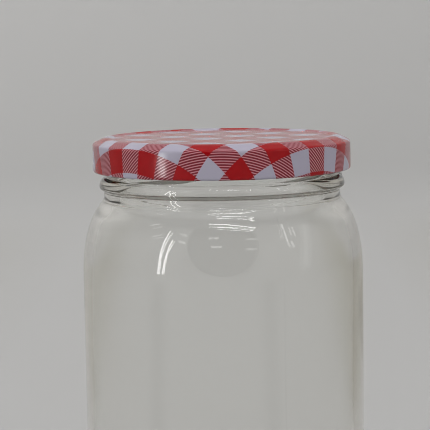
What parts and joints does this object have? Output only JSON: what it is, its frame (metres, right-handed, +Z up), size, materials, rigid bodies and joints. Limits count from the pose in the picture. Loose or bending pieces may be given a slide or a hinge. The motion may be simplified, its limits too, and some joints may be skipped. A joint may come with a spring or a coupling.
{
  "type": "glass storage jar",
  "caption": "Round clear glass storage jar with a rounded shoulder, a beaded and threaded neck and a red and white checked twist-off metal lid, for keeping food.",
  "frame": {"origin": "middle of the base, on the surface the jar stands on", "axes": "+Z up along the jar's axis, -Y towards the side that the picture shows"},
  "size_m": [0.093, 0.093, 0.1398],
  "materials": {
    "clear_glass": "clear, glossy, faint green-grey tint",
    "lid_enamel": "glossy enamel with a printed red and white check"
  },
  "bodies": {
    "root": {"glass_jar": "clear_glass", "metal_lid": "lid_enamel"}
  },
  "joints": []
}
